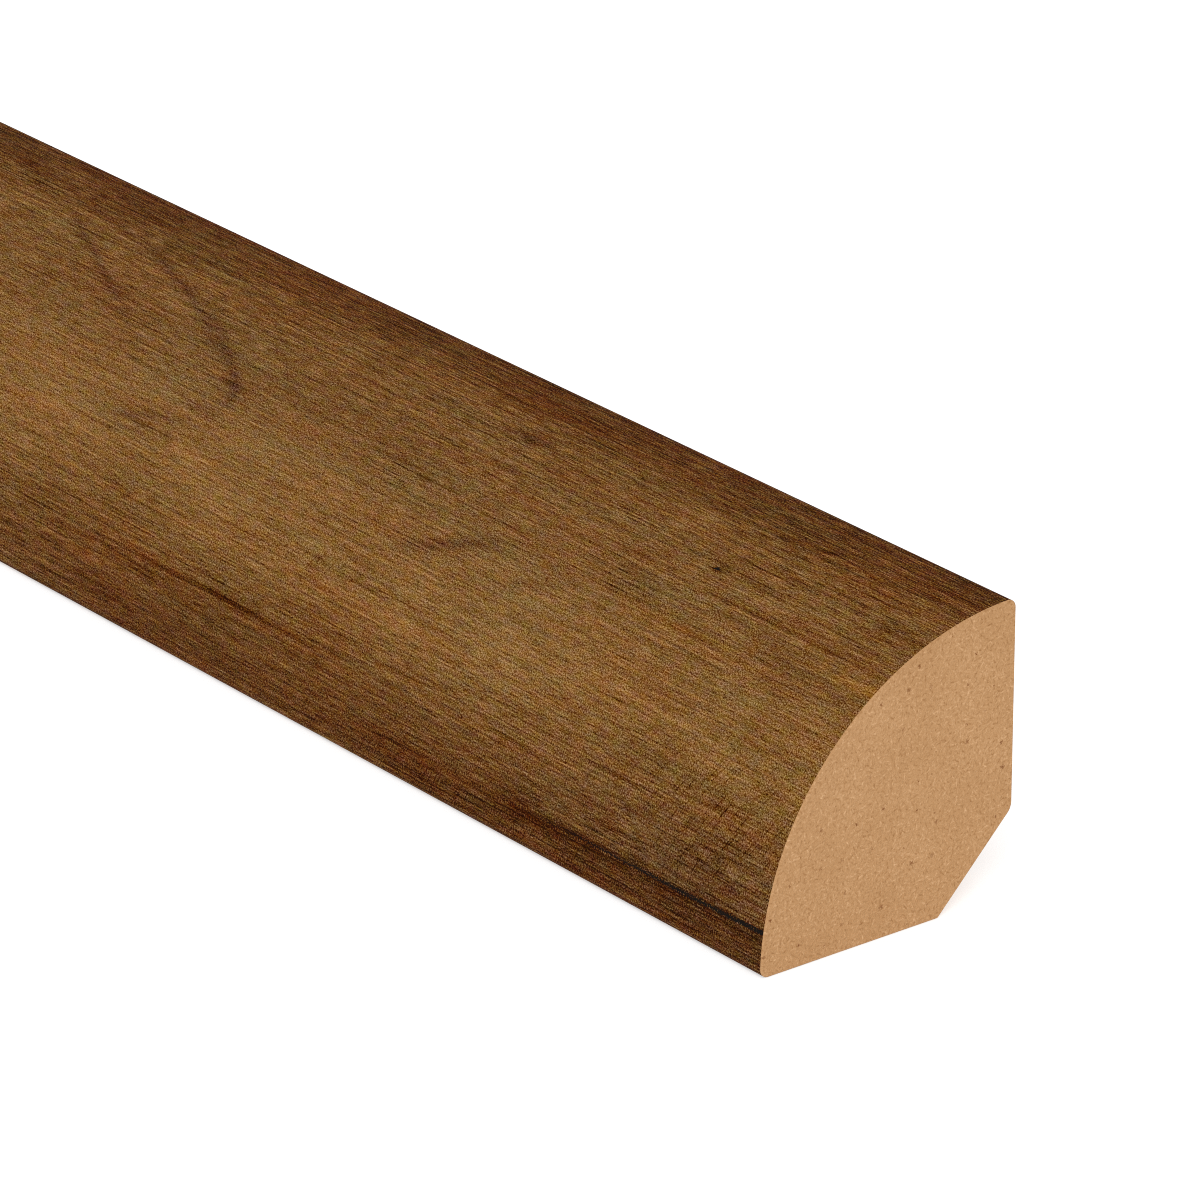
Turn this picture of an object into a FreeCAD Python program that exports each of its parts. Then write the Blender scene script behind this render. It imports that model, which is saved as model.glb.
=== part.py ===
# Quarter round moulding: one strip of fibreboard, machined to a quarter circle in section.
# Its two showing edges are eased, and a bevel along the hidden corner clears whatever
# gathers where the wall meets the floor.
#
# Frame: X along the strip, Y towards the wall, Z up. The origin is on the floor, midway
# along the strip and midway between its toe and its wall face.

import FreeCAD
import Part
import math
import os

# Driving dimensions, in millimetres
LENGTH = 2387.6  # the strip as it is sold, 94 in
SIZE = 19.05  # reach along the floor and up the wall, 3/4 in each
NOSE_RADIUS = 0.6  # eased edges: the toe on the floor and the crown at the wall
BEVEL = 5.6  # how much of each flat face the bevel takes, at 45 degrees
ARRIS_RADIUS = 1.0  # rounding where the bevel runs into the wall face

# Directions in the section
TO_WALL = FreeCAD.Vector(0, 1, 0)
UP = FreeCAD.Vector(0, 0, 1)
TO_TOE = -TO_WALL
DOWN = -UP
OUT_OF_BEVEL = TO_WALL + DOWN

# Points that the section is built round, on the plane of the strip's left end
CORNER = FreeCAD.Vector(-LENGTH / 2, SIZE / 2, 0)
TOE_CENTRE = CORNER + TO_TOE * (SIZE - NOSE_RADIUS) + UP * NOSE_RADIUS
CROWN_CENTRE = CORNER + UP * (SIZE - NOSE_RADIUS) + TO_TOE * NOSE_RADIUS
ARRIS_RISE = ARRIS_RADIUS * math.tan(OUT_OF_BEVEL.getAngle(TO_WALL) / 2)
ARRIS_CENTRE = CORNER + UP * (BEVEL + ARRIS_RISE) + TO_TOE * ARRIS_RADIUS

# The round face is centred on the corner where wall and floor meet. A nose touches it from
# inside, on the line from that corner through the nose's own centre.
TO_TOE_NOSE = TOE_CENTRE - CORNER
TO_CROWN_NOSE = CROWN_CENTRE - CORNER
FACE_RADIUS = TO_TOE_NOSE.Length + NOSE_RADIUS


def on_circle(centre, radius, direction):
    """Point of a circle in the section that lies in a direction from its centre."""
    return centre + direction / direction.Length * radius


def arc(centre, radius, start, end):
    """Arc of the section from one direction to another, less than half a turn on."""
    first = on_circle(centre, radius, start)
    last = on_circle(centre, radius, end)
    middle = on_circle(centre, radius, (first - centre) + (last - centre))
    return Part.Arc(first, middle, last).toShape()


def straight(start, end):
    """Straight side of the section."""
    return Part.LineSegment(start, end).toShape()


def section():
    """Outline of the strip, from the toe along the floor, up the wall and back over the face."""
    floor_start = on_circle(TOE_CENTRE, NOSE_RADIUS, DOWN)
    bevel_start = CORNER + TO_TOE * BEVEL
    arris_start = on_circle(ARRIS_CENTRE, ARRIS_RADIUS, OUT_OF_BEVEL)
    wall_start = on_circle(ARRIS_CENTRE, ARRIS_RADIUS, TO_WALL)
    crown_start = on_circle(CROWN_CENTRE, NOSE_RADIUS, TO_WALL)
    return Part.Wire(
        [
            straight(floor_start, bevel_start),
            straight(bevel_start, arris_start),
            arc(ARRIS_CENTRE, ARRIS_RADIUS, OUT_OF_BEVEL, TO_WALL),
            straight(wall_start, crown_start),
            arc(CROWN_CENTRE, NOSE_RADIUS, TO_WALL, TO_CROWN_NOSE),
            arc(CORNER, FACE_RADIUS, TO_CROWN_NOSE, TO_TOE_NOSE),
            arc(TOE_CENTRE, NOSE_RADIUS, TO_TOE_NOSE, DOWN),
        ]
    )


def moulding():
    """The section run the length of the strip, sawn square at both ends."""
    return Part.Face(section()).extrude(FreeCAD.Vector(LENGTH, 0, 0))


def main():
    """Writes the strip and prints its size."""
    os.makedirs("parts", exist_ok=True)
    strip = moulding()
    strip.exportStep("parts/moulding.step")
    box = strip.BoundBox
    print("valid", strip.isValid(), "solids", len(strip.Solids), "faces", len(strip.Faces))
    print("box mm", box.XLength, box.YLength, box.ZLength, "volume mm3", strip.Volume)


main()
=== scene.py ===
"""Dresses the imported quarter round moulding: a fibreboard strip wrapped in a printed wood foil.

The strip is one closed surface: its section carried along the length, with the sawn ends closed.
The foil covers the round face and laps a little way onto the two flat faces. Everything else is
bare fibreboard. Sizes are in metres, except in the finishes, which are drawn in millimetres.
"""

import logging
import math
from dataclasses import dataclass
from enum import Enum

import bpy
import numpy as np
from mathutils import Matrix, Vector


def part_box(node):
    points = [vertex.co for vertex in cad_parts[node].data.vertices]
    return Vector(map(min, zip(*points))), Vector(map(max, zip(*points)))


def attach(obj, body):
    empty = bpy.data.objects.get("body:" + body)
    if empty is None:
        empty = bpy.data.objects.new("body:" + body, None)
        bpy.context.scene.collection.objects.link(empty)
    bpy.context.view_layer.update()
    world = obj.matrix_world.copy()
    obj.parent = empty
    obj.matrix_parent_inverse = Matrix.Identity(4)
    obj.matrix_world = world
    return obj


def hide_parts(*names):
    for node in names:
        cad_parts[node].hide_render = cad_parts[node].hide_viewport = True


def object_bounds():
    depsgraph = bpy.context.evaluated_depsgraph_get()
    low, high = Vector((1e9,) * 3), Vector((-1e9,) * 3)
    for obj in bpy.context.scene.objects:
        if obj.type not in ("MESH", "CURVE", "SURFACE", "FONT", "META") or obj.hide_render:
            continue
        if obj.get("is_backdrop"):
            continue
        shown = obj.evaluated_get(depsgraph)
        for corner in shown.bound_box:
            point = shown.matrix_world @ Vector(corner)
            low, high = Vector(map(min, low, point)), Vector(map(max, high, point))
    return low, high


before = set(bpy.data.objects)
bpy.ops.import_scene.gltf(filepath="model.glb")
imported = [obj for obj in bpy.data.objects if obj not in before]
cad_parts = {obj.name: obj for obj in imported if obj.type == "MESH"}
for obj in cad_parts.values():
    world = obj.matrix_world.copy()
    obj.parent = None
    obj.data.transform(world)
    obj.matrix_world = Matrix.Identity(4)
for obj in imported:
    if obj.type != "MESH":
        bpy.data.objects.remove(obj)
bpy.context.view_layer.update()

log = logging.getLogger("moulding")

NODE = "moulding"
BODY = "root"
GRAIN_MAP = "grain"
BAKE_MAP = "OFBake"
MM = 0.001

# A bell curve is this base to the power of a squared distance.
BELL_BASE = math.exp(-1.0)

# A noise node gives values about this middle, and the gain spreads them to about plus or minus 1.
NOISE_MIDDLE = 0.5
NOISE_GAIN = 3.0

# Places of the colour sockets on a Mix node, whose names repeat.
MIX_FIRST = 6
MIX_SECOND = 7
MIX_RESULT = 2

# A screen's curve is straight below the knee and a power above it.
SCREEN_WHITE = 255.0
CURVE_KNEE = 0.04045
CURVE_SLOPE = 12.92
CURVE_OFFSET = 0.055
CURVE_POWER = 2.4

# Stretches of the section that come before the round face.
RUNS_BEFORE_FACE = 6

Colour = tuple[float, float, float, float]


def linear(red: int, green: int, blue: int) -> Colour:
    """Turns a colour as seen on a screen into the light it stands for.

    Args:
        red: Screen value, 0 to 255.
        green: Screen value, 0 to 255.
        blue: Screen value, 0 to 255.

    Returns:
        Linear red, green, blue and an alpha of one.
    """
    seen = np.array([red, green, blue]) / SCREEN_WHITE
    bent = ((seen + CURVE_OFFSET) / (1 + CURVE_OFFSET)) ** CURVE_POWER
    light = np.where(seen > CURVE_KNEE, bent, seen / CURVE_SLOPE)
    return (*light.tolist(), 1.0)


class Op(Enum):
    """Sums that a field can take part in."""

    ADD = "ADD"
    SUBTRACT = "SUBTRACT"
    MULTIPLY = "MULTIPLY"
    DIVIDE = "DIVIDE"
    POWER = "POWER"
    ABSOLUTE = "ABSOLUTE"
    WRAP = "WRAP"


@dataclass(frozen=True)
class Wire:
    """The output of a node: a colour, a vector or a number."""

    recipe: "Recipe"
    socket: bpy.types.NodeSocket


class Field(Wire):
    """A number that varies over a surface. Sums with fields add nodes to the recipe."""

    def __add__(self, other: "Scalar") -> "Field":
        """Adds a field or number."""
        return self.recipe.sum(Op.ADD, self, other)

    def __radd__(self, other: float) -> "Field":
        """Adds this field to a number."""
        return self.recipe.sum(Op.ADD, other, self)

    def __sub__(self, other: "Scalar") -> "Field":
        """Takes a field or number away."""
        return self.recipe.sum(Op.SUBTRACT, self, other)

    def __rsub__(self, other: float) -> "Field":
        """Takes this field away from a number."""
        return self.recipe.sum(Op.SUBTRACT, other, self)

    def __mul__(self, other: "Scalar") -> "Field":
        """Multiplies by a field or number."""
        return self.recipe.sum(Op.MULTIPLY, self, other)

    def __rmul__(self, other: float) -> "Field":
        """Multiplies a number by this field."""
        return self.recipe.sum(Op.MULTIPLY, other, self)

    def __truediv__(self, other: "Scalar") -> "Field":
        """Divides by a field or number."""
        return self.recipe.sum(Op.DIVIDE, self, other)

    def __pow__(self, other: "Scalar") -> "Field":
        """Raises to a power."""
        return self.recipe.sum(Op.POWER, self, other)

    def __abs__(self) -> "Field":
        """Drops the sign."""
        return self.recipe.sum(Op.ABSOLUTE, self)

    def bell(self, middle: float, width: "Scalar") -> "Field":
        """Bell curve exp(-d * d), where d is the distance from the middle in widths."""
        distance = (self - middle) / width
        return self.recipe.sum(Op.POWER, BELL_BASE, distance * distance)

    def step(self, low: float, high: float) -> "Field":
        """Smooth step, rising or falling.

        Args:
            low: Value at which it is nought.
            high: Value at which it is one, above low or below it.

        Returns:
            The step.
        """
        node = self.recipe.add("ShaderNodeMapRange", interpolation_type="SMOOTHSTEP")
        rising = low < high
        self.recipe.feed(node.inputs["Value"], self)
        self.recipe.feed(node.inputs["From Min"], min(low, high))
        self.recipe.feed(node.inputs["From Max"], max(low, high))
        self.recipe.feed(node.inputs["To Min"], 0.0 if rising else 1.0)
        self.recipe.feed(node.inputs["To Max"], 1.0 if rising else 0.0)
        return Field(self.recipe, node.outputs["Result"])


Scalar = Field | float


class Recipe:
    """The nodes of one material, written as sums of fields."""

    def __init__(self, name: str) -> None:
        """Starts an empty material.

        Args:
            name: Name of the material.
        """
        self.material = bpy.data.materials.new(name)
        self.material.use_nodes = True
        self.tree = self.material.node_tree
        self.tree.nodes.clear()

    def add(self, kind: str, **settings: object) -> bpy.types.Node:
        """Adds a node.

        Args:
            kind: Blender's name for the kind of node.
            **settings: Properties to set on it.

        Returns:
            The new node.
        """
        node = self.tree.nodes.new(kind)
        for name, value in settings.items():
            setattr(node, name, value)
        return node

    def feed(self, socket: bpy.types.NodeSocket, value: object) -> None:
        """Links a wire into a socket, or sets the socket to a plain value.

        Args:
            socket: The socket.
            value: A wire, or a value that is the same all over the surface.
        """
        if isinstance(value, Wire):
            self.tree.links.new(value.socket, socket)
        else:
            socket.default_value = value

    def sum(self, op: Op, *terms: Scalar) -> Field:
        """Adds one Math node.

        Args:
            op: What it works out.
            *terms: Its inputs, in order.

        Returns:
            The result.
        """
        node = self.add("ShaderNodeMath", operation=op.value)
        for socket, term in zip(node.inputs, terms):
            self.feed(socket, term)
        return Field(self, node.outputs[0])

    def place(self) -> Wire:
        """Where a point lies on the strip in millimetres, along it and round it."""
        grain = self.add("ShaderNodeUVMap", uv_map=GRAIN_MAP)
        return self.scaled(Wire(self, grain.outputs[0]), (1 / MM, 1 / MM, 1.0))

    def parts(self, vector: Wire) -> list[Field]:
        """Splits a vector or a colour.

        Args:
            vector: What is split.

        Returns:
            Its three numbers.
        """
        node = self.add("ShaderNodeSeparateXYZ")
        self.feed(node.inputs[0], vector)
        return [Field(self, socket) for socket in node.outputs]

    def join(self, *numbers: Field) -> Wire:
        """Joins numbers into a vector or a colour.

        Args:
            *numbers: Two or three numbers, in order.

        Returns:
            The vector or colour.
        """
        node = self.add("ShaderNodeCombineXYZ")
        for socket, number in zip(node.inputs, numbers):
            self.feed(socket, number)
        return Wire(self, node.outputs[0])

    def bell(self, place: Wire, middle: tuple[float, float], reach: tuple[float, float]) -> Field:
        """Bell curve exp(-d * d) round a point.

        Args:
            place: Where on the surface.
            middle: The point.
            reach: Half length and half width of the bell, in which the distance d is counted.

        Returns:
            The bell, 1 at the point.
        """
        away = self.add("ShaderNodeVectorMath", operation="MULTIPLY_ADD")
        self.feed(away.inputs[0], place)
        self.feed(away.inputs[1], (1 / reach[0], 1 / reach[1], 0.0))
        self.feed(away.inputs[2], (-middle[0] / reach[0], -middle[1] / reach[1], 0.0))
        square = self.add("ShaderNodeVectorMath", operation="DOT_PRODUCT")
        for socket in square.inputs[:2]:
            self.feed(socket, Wire(self, away.outputs[0]))
        return self.sum(Op.POWER, BELL_BASE, Field(self, square.outputs["Value"]))

    def turned(self, vector: Wire, angle: Field) -> Wire:
        """Turns a vector that lies on a plane.

        Args:
            vector: What is turned.
            angle: How far, in radians.

        Returns:
            The turned vector.
        """
        node = self.add("ShaderNodeVectorRotate", rotation_type="Z_AXIS")
        self.feed(node.inputs["Vector"], vector)
        self.feed(node.inputs["Angle"], angle)
        return Wire(self, node.outputs[0])

    def scaled(self, vector: Wire, scale: tuple[float, float, float], shift: float = 0.0) -> Wire:
        """Scales a vector and then moves it.

        Args:
            vector: What is scaled.
            scale: Scale on each axis.
            shift: How far it is moved on every axis.

        Returns:
            The scaled vector.
        """
        node = self.add("ShaderNodeMapping")
        self.feed(node.inputs["Vector"], vector)
        self.feed(node.inputs["Scale"], scale)
        self.feed(node.inputs["Location"], (shift, shift, shift))
        return Wire(self, node.outputs[0])

    def noise(self, place: Wire, detail: float = 0.0) -> Field:
        """Cloudy noise with cells one unit wide.

        Args:
            place: Where on the surface, in cells.
            detail: Finer octaves that are added.

        Returns:
            A field about 0, mostly within plus or minus 1.
        """
        node = self.add("ShaderNodeTexNoise", noise_dimensions="2D")
        self.feed(node.inputs["Vector"], place)
        self.feed(node.inputs["Scale"], 1.0)
        self.feed(node.inputs["Detail"], detail)
        return (Field(self, node.outputs["Fac"]) - NOISE_MIDDLE) * NOISE_GAIN

    def cells(self, place: Wire) -> "Cells":
        """Scattered points, about one to a unit cell.

        Args:
            place: Where on the surface, in cells.

        Returns:
            What is known at each place about the nearest point.
        """
        node = self.add("ShaderNodeTexVoronoi", voronoi_dimensions="2D")
        self.feed(node.inputs["Vector"], place)
        self.feed(node.inputs["Scale"], 1.0)
        away = self.add("ShaderNodeVectorMath", operation="SUBTRACT")
        self.feed(away.inputs[0], place)
        self.feed(away.inputs[1], Wire(self, node.outputs["Position"]))
        turn, weight, _ = self.parts(Wire(self, node.outputs["Color"]))
        return Cells(Field(self, node.outputs["Distance"]), Wire(self, away.outputs[0]), turn, weight)

    def ramp(self, value: Scalar, stops: list[tuple[float, Colour]], smooth: bool = False) -> Wire:
        """Colour that runs through stops as a number goes from 0 to 1.

        Args:
            value: The number.
            stops: Where each colour stands, in order, and the colour.
            smooth: Whether the colours flow on as a curve and not in straight steps.

        Returns:
            The colour.
        """
        node = self.add("ShaderNodeValToRGB")
        node.color_ramp.interpolation = "CARDINAL" if smooth else "LINEAR"
        elements = node.color_ramp.elements
        while len(elements) < len(stops):
            elements.new(1.0)
        for element, (position, colour) in zip(elements, stops):
            element.position = position
            element.color = colour
        self.feed(node.inputs[0], value)
        return Wire(self, node.outputs[0])

    def mix(self, share: Field, first: Wire, second: Colour) -> Wire:
        """Mixes two colours.

        Args:
            share: How much of the second is in the mix, 0 to 1.
            first: Colour that varies over the surface.
            second: Plain colour.

        Returns:
            The mixed colour.
        """
        node = self.add("ShaderNodeMix", data_type="RGBA")
        self.feed(node.inputs[0], share)
        self.feed(node.inputs[MIX_FIRST], first)
        self.feed(node.inputs[MIX_SECOND], second)
        return Wire(self, node.outputs[MIX_RESULT])

    def finish(self, colour: Wire, roughness: Scalar, gloss: float, relief: Field, depth: float) -> None:
        """Ends the recipe with a surface.

        Args:
            colour: Colour of the surface.
            roughness: How matt it is.
            gloss: How strongly it reflects.
            relief: Height of the fine relief, about 0 to 1.
            depth: Height that one unit of relief stands for, in metres.
        """
        bump = self.add("ShaderNodeBump")
        self.feed(bump.inputs["Height"], relief)
        self.feed(bump.inputs["Distance"], depth)
        surface = self.add("ShaderNodeBsdfPrincipled")
        self.feed(surface.inputs["Base Color"], colour)
        self.feed(surface.inputs["Roughness"], roughness)
        self.feed(surface.inputs["Specular IOR Level"], gloss)
        self.feed(surface.inputs["Normal"], Wire(self, bump.outputs[0]))
        output = self.add("ShaderNodeOutputMaterial")
        self.feed(output.inputs["Surface"], Wire(self, surface.outputs[0]))


@dataclass(frozen=True)
class Cells:
    """Scattered points, seen from every place on a surface.

    Attributes:
        distance: Distance to the nearest point.
        offset: Way from that point to the place.
        turn: A number from 0 to 1 that is the point's own.
        weight: Another such number.
    """

    distance: Field
    offset: Wire
    turn: Field
    weight: Field


@dataclass(frozen=True)
class Arch:
    """One ring of an arched figure, in millimetres.

    Attributes:
        tip: Distance of the tip from the near end.
        middle: Distance of the tip from the crown, round the face.
        spread: How fast the legs run back, away from the near end unless it is below nought.
        crown_leg: How strong the leg towards the crown is, from 0 to 1.
        toe_leg: How strong the leg towards the toe is, from 0 to 1.
    """

    tip: float
    middle: float
    spread: float
    crown_leg: float
    toe_leg: float


@dataclass(frozen=True)
class Smudge:
    """A soft mark that lies along the grain, in millimetres.

    Attributes:
        along: Distance of its middle from the near end.
        across: Distance of its middle from the crown, round the face.
        length: Half length.
        width: Half width.
        depth: How much darker it is, or lighter where it is below nought.
        slant: How far it drifts towards the toe for each millimetre along.
    """

    along: float
    across: float
    length: float
    width: float
    depth: float
    slant: float = 0.0

    def field(self, recipe: Recipe, place: Wire) -> Field:
        """Darkness of the mark: a bell round its middle, slid sideways by its slant.

        Args:
            recipe: The material's nodes.
            place: Where on the print.

        Returns:
            The darkness.
        """
        middle = (self.along, self.across - self.along * self.slant)
        if self.slant:
            along, across, _ = recipe.parts(place)
            place = recipe.join(along, across - along * self.slant)
        return recipe.bell(place, middle, (self.length, self.width)) * self.depth


@dataclass(frozen=True)
class Layer:
    """One layer of noise in a finish, in millimetres.

    Attributes:
        length: Size of its cells along the grain.
        width: Size of its cells across the grain.
        strength: How much lightness it gives and takes.
        shift: How far it is moved, so that no two layers match.
        detail: Finer octaves that are added.
    """

    length: float
    width: float
    strength: float
    shift: float
    detail: float = 0.0

    def field(self, recipe: Recipe, place: Wire) -> Field:
        """Noise of this layer, about nought."""
        cells = recipe.scaled(place, (1 / self.length, 1 / self.width, 1.0), self.shift)
        return recipe.noise(cells, self.detail)


@dataclass(frozen=True)
class Strands:
    """One layer of short fibres that lie every way, in millimetres.

    Attributes:
        spacing: Usual distance from one to the next.
        length: Half length.
        width: Half width.
        strength: How much lightness they give, or take where it is below nought.
        shift: How far the layer is moved, so that no two layers match.
    """

    spacing: float
    length: float
    width: float
    strength: float
    shift: float

    def field(self, recipe: Recipe, place: Wire) -> Field:
        """Lightness of the nearest fibre: a bell along it times a bell across it, by its weight.

        Args:
            recipe: The material's nodes.
            place: Where on the surface.

        Returns:
            The lightness that it adds.
        """
        cells = recipe.cells(recipe.scaled(place, (1 / self.spacing, 1 / self.spacing, 1.0), self.shift))
        fibre = recipe.turned(cells.offset, cells.turn * math.tau)
        shape = recipe.bell(fibre, (0.0, 0.0), (self.length / self.spacing, self.width / self.spacing))
        return shape * cells.weight * self.strength


@dataclass(frozen=True)
class Print:
    """The printed sheet as a recipe sees it.

    Attributes:
        recipe: The material's nodes.
        place: Where a point lies, along the strip and round it.
        along: Distance along the print, which starts anew at each repeat.
        across: Distance from the crown.
        cloudy: Place on the print, pushed about by the clouds.
        fibrous: Place on the print, pushed about by the fibres.
    """

    recipe: Recipe
    place: Wire
    along: Field
    across: Field
    cloudy: Wire
    fibrous: Wire

    def layer(self, layer: Layer) -> Field:
        """Noise of a layer, at its strength."""
        return layer.field(self.recipe, self.place) * layer.strength

    def marks(self, place: Wire, smudges: tuple[Smudge, ...]) -> Field:
        """Darkness of some smudges, added up."""
        return sum(smudge.field(self.recipe, place) for smudge in smudges)


@dataclass(frozen=True)
class Tones:
    """Colours of the print, and its lightness round the face, which is partly painted shade.

    Lightness is counted as a screen shows it, from 0 to 255, so that marks add up as the eye
    sees them, and a ramp turns it into colour.

    Attributes:
        lightest: Lightness at the top of the ramp.
        tones: Lightness, with the screen's red, green and blue for it.
        girth: Distance from the crown to the toe, round the face.
        across_print_and_shade: Distance from the crown, with the lightness there. It is lightest partway
            round and darker towards the crown and the toe: partly the print's own darker edges, partly
            painted shade.
        red_swing: How much lighter red is for each step towards red.
        green_swing: How much darker green is for each step towards red.
        blue_swing: How much darker blue is for each step towards yellow.
    """

    lightest: float = 180.0
    tones: tuple[tuple[float, int, int, int], ...] = (
        (12, 36, 8, 0),
        (40, 76, 33, 1),
        (63, 96, 57, 16),
        (84, 115, 80, 38),
        (105, 137, 101, 61),
        (140, 171, 136, 97),
    )
    girth: float = 29.9
    across_print_and_shade: tuple[tuple[float, float], ...] = (
        (0.0, 39.0),
        (0.9, 51.0),
        (3.0, 61.0),
        (6.0, 79.0),
        (12.0, 83.5),
        (17.5, 92.0),
        (22.5, 81.0),
        (29.9, 53.0),
    )
    red_swing: float = 3.1
    green_swing: float = 0.9
    blue_swing: float = 5.4

    def print_and_painted_shade(self, recipe: Recipe, across: Field) -> Field:
        """Lightness round the face: darker towards the crown and the toe, partly the print's own darker
        edges and partly painted shade.

        Args:
            recipe: The material's nodes.
            across: Distance from the crown.

        Returns:
            The lightness.
        """
        # Painted shade: the lightness falls towards the crown and the toe, as light falls off round the
        # face, on top of the print's own darker edges.
        stops = [(at / self.girth, (*[tone / SCREEN_WHITE] * 3, 1.0)) for at, tone in self.across_print_and_shade]
        grey = recipe.ramp(across / self.girth, stops, smooth=True)
        value, _, _ = recipe.parts(grey)
        return value * SCREEN_WHITE

    def colour(self, recipe: Recipe, light: Field, red: Field, yellow: Field) -> Wire:
        """Colour of the print: red, green and blue are each read off the tones at their own lightness.

        Args:
            recipe: The material's nodes.
            light: Lightness of the print.
            red: How far it leans to red, or to green below nought.
            yellow: How far it leans to yellow, or to grey below nought.

        Returns:
            The colour.
        """
        stops = [(at / self.lightest, linear(*tone)) for at, *tone in self.tones]
        lights = (
            light + red * self.red_swing,
            light - red * self.green_swing,
            light - yellow * self.blue_swing,
        )
        shades = [recipe.parts(recipe.ramp(value / self.lightest, stops)) for value in lights]
        return recipe.join(*[shade[order] for order, shade in enumerate(shades)])


@dataclass(frozen=True)
class Figure:
    """The arched figure of the wood, and flecks in the same brown.

    Attributes:
        arches: Its rings.
        flecks: Its flecks.
        power: How the legs of a ring curve.
        width: Half width of a ring at its tip.
        wander: How far the clouds push it about.
        leg_blend: Half width of the stretch at the tip in which one leg turns into the other.
        leg_full: How far from the tip a leg keeps its strength, round the face.
        leg_end: How far from the tip a leg ends.
        depth: How much darker it makes the print.
    """

    arches: tuple[Arch, ...] = (
        Arch(tip=62.0, middle=13.0, spread=0.6, crown_leg=1.0, toe_leg=0.2),
        Arch(tip=250.0, middle=15.5, spread=-1.1, crown_leg=0.5, toe_leg=0.9),
        Arch(tip=234.0, middle=15.5, spread=-1.1, crown_leg=0.7, toe_leg=0.4),
        Arch(tip=420.0, middle=11.0, spread=1.7, crown_leg=0.8, toe_leg=0.7),
        Arch(tip=447.0, middle=11.0, spread=1.7, crown_leg=0.4, toe_leg=0.8),
    )
    flecks: tuple[Smudge, ...] = (
        Smudge(along=83.2, across=7.8, length=4.8, width=0.36, slant=-0.41, depth=1.1),
        Smudge(along=78.7, across=9.4, length=2.4, width=0.7, slant=-0.2, depth=0.8),
        Smudge(along=62.6, across=11.8, length=1.3, width=1.5, depth=0.4),
        Smudge(along=64.0, across=14.1, length=1.8, width=0.5, slant=0.1, depth=0.8),
        Smudge(along=69.0, across=16.4, length=3.6, width=0.4, slant=0.22, depth=0.75),
        Smudge(along=37.3, across=14.8, length=4.2, width=0.5, slant=0.38, depth=1.3),
        Smudge(along=29.3, across=14.7, length=2.0, width=0.45, slant=0.38, depth=0.6),
        Smudge(along=39.3, across=5.8, length=1.7, width=0.4, slant=0.1, depth=1.3),
    )
    power: float = 1.7
    width: float = 0.36
    wander: float = 0.25
    leg_blend: float = 0.8
    leg_full: float = 6.5
    leg_end: float = 10.0
    depth: float = 17.0

    def field(self, sheet: Print, clouds: Field) -> Field:
        """Strength of the figure: rings and flecks, added up."""
        rings = self.rings(sheet.along, sheet.across + clouds * self.wander)
        return rings + sheet.marks(sheet.cloudy, self.flecks)

    def rings(self, along: Field, across: Field) -> Field:
        """Strength of the rings.

        A ring is the curve along = tip + spread * |across - middle| ** power, so the tip that a
        point belongs to is its distance along less that last term.

        Args:
            along: Distance from the near end.
            across: Distance from the crown.

        Returns:
            How far each point belongs to a ring, about 0 to 1.
        """
        total: Scalar = 0.0
        for arch in self.arches:
            offset = across - arch.middle
            away = abs(offset)
            bend = away ** (self.power - 1.0)
            ring = along - bend * away * arch.spread
            lean = bend * (abs(arch.spread) * self.power)
            to_toe = offset.step(-self.leg_blend, self.leg_blend)
            strength = arch.crown_leg + to_toe * (arch.toe_leg - arch.crown_leg)
            strength = strength * away.step(self.leg_end, self.leg_full)
            total = ring.bell(arch.tip, (lean + 1.0) * self.width) * strength + total
        return total


@dataclass(frozen=True)
class Hatch:
    """Slanted ticks, as a tool leaves across the grain.

    Attributes:
        zones: Where the ticks are, and how much darker they are than the print.
        slant: How far a tick leans along the print for each millimetre round it.
        pitch: Usual distance from one tick to the next, along the print.
        length: Usual distance from one tick to the next, round it.
        reach: Half width and half length of a tick, as shares of its pitch and length.
    """

    zones: tuple[Smudge, ...] = (
        Smudge(along=6.0, across=22.0, length=8.0, width=4.2, depth=60.0),
        Smudge(along=47.0, across=19.6, length=4.0, width=1.0, depth=42.0),
        Smudge(along=32.0, across=28.6, length=16.0, width=1.0, depth=38.0),
    )
    slant: float = 0.52
    pitch: float = 0.42
    length: float = 1.8
    reach: tuple[float, float] = (0.14, 0.4)

    def field(self, sheet: Print) -> Field:
        """Darkness of the ticks: scattered thin bells, each with its own weight, within the zones.

        Args:
            sheet: The printed sheet.

        Returns:
            The darkness.
        """
        slanted = (sheet.along - sheet.across * self.slant) / self.pitch
        cells = sheet.recipe.cells(sheet.recipe.join(slanted, sheet.across / self.length))
        ticks = sheet.recipe.bell(cells.offset, (0.0, 0.0), self.reach) * cells.weight
        return ticks * sheet.marks(sheet.fibrous, self.zones)


@dataclass(frozen=True)
class Heart:
    """The dark heart line and the knot, which turn to plain dark ink where they are strongest.

    Attributes:
        lines: Where they are, and how strong.
        grain: How far the speckle breaks them up.
        depth: How much darker they make the print.
        cut: Strengths at which the ink starts and is full.
        ink: Colour of the ink.
    """

    lines: tuple[Smudge, ...] = (
        Smudge(along=-2.0, across=27.0, length=24.0, width=0.19, slant=0.012, depth=1.25),
        Smudge(along=17.5, across=8.45, length=0.27, width=0.18, slant=0.2, depth=1.5),
    )
    grain: float = 0.45
    depth: float = 30.0
    cut: tuple[float, float] = (0.3, 1.1)
    ink: Colour = linear(21, 18, 16)

    def field(self, sheet: Print, speckle: Field) -> Field:
        """Strength of the lines, broken up by the speckle."""
        return sheet.marks(sheet.fibrous, self.lines) * (1.0 - speckle * self.grain)


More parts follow.
